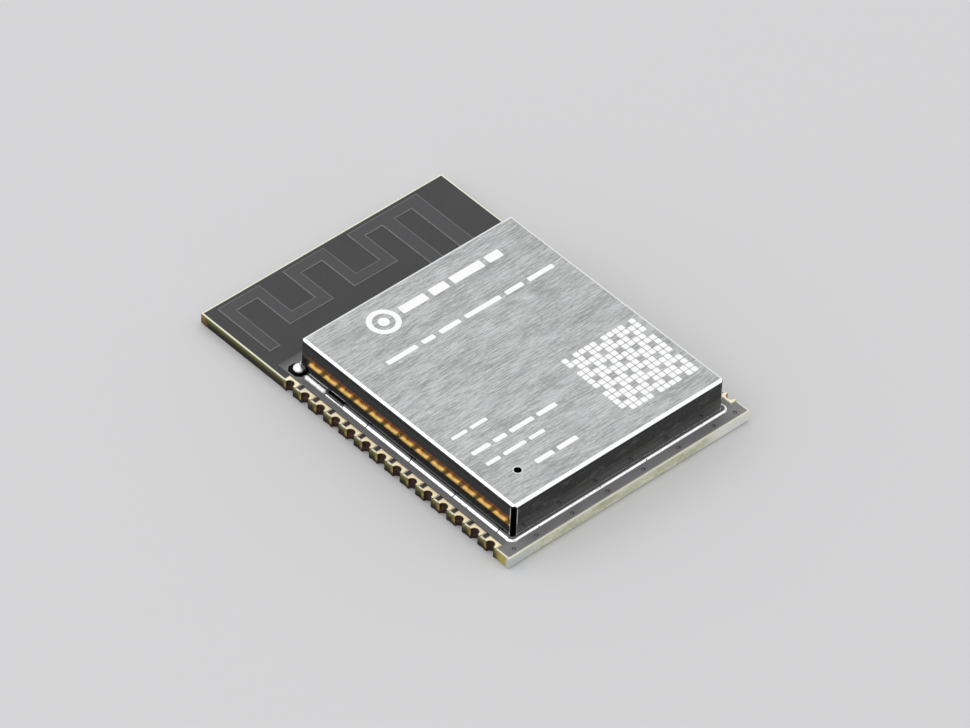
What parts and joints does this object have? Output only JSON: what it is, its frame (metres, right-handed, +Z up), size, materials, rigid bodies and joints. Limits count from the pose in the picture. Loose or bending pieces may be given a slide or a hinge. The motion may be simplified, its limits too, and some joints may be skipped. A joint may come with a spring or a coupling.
{
  "type": "wifi module",
  "caption": "Surface-mount wireless module: castellated circuit board with a printed meander antenna and a folded, soldered metal shield.",
  "frame": {"origin": "middle of the footprint, at the underside that lies on the host board", "axes": "+X across the board, +Y along it towards the antenna end, +Z up out of the shield's top"},
  "size_m": [0.018, 0.0254, 0.0032],
  "materials": {
    "laminate": "sawn glass-epoxy edge, satin",
    "copper": "etched copper foil",
    "gold_plating": "immersion gold, bright",
    "solder_mask": "matt black lacquer",
    "shield_sheet": "brushed top, polished walls",
    "solder": "bright reflowed tin solder",
    "tinned": "matt tin plating",
    "moulding": "filled epoxy moulding",
    "crystal_ceramic": "fired, matt",
    "crystal_lid": "satin nickel alloy",
    "capacitor_ceramic": "fired, satin",
    "resistor_film": "glazed film",
    "inductor_ceramic": "fired, satin"
  },
  "bodies": {
    "root": {"laminate_core": "laminate", "antenna_and_ground_copper": "copper", "component_lands": "gold_plating", "ground_copper_bottom": "copper", "thermal_pad": "gold_plating", "ground_vias": "copper", "solder_mask_top": "solder_mask", "solder_mask_bottom": "solder_mask", "shield_can": "shield_sheet", "shield_solder_left": "solder", "shield_solder_right": "solder", "shield_solder_front": "solder", "shield_solder_rear": "solder", "corner_solder": "solder", "component_solder": "solder", "soc_body": "moulding", "soc_terminals": "tinned", "flash_body": "moulding", "flash_leads": "tinned", "crystal_base": "crystal_ceramic", "crystal_lid": "crystal_lid", "capacitor_bodies": "capacitor_ceramic", "capacitor_ends": "tinned", "resistor_bodies": "resistor_film", "resistor_ends": "tinned", "inductor_bodies": "inductor_ceramic", "inductor_ends": "tinned", "castellation_01": "gold_plating", "castellation_02": "gold_plating", "castellation_03": "gold_plating", "castellation_04": "gold_plating", "castellation_05": "gold_plating", "castellation_06": "gold_plating", "castellation_07": "gold_plating", "castellation_08": "gold_plating", "castellation_09": "gold_plating", "castellation_10": "gold_plating", "castellation_11": "gold_plating", "castellation_12": "gold_plating", "castellation_13": "gold_plating", "castellation_14": "gold_plating", "castellation_15": "gold_plating", "castellation_16": "gold_plating", "castellation_17": "gold_plating", "castellation_18": "gold_plating", "castellation_19": "gold_plating", "castellation_20": "gold_plating", "castellation_21": "gold_plating", "castellation_22": "gold_plating", "castellation_23": "gold_plating", "castellation_24": "gold_plating", "castellation_25": "gold_plating", "castellation_26": "gold_plating", "castellation_27": "gold_plating", "castellation_28": "gold_plating"}
  },
  "joints": []
}
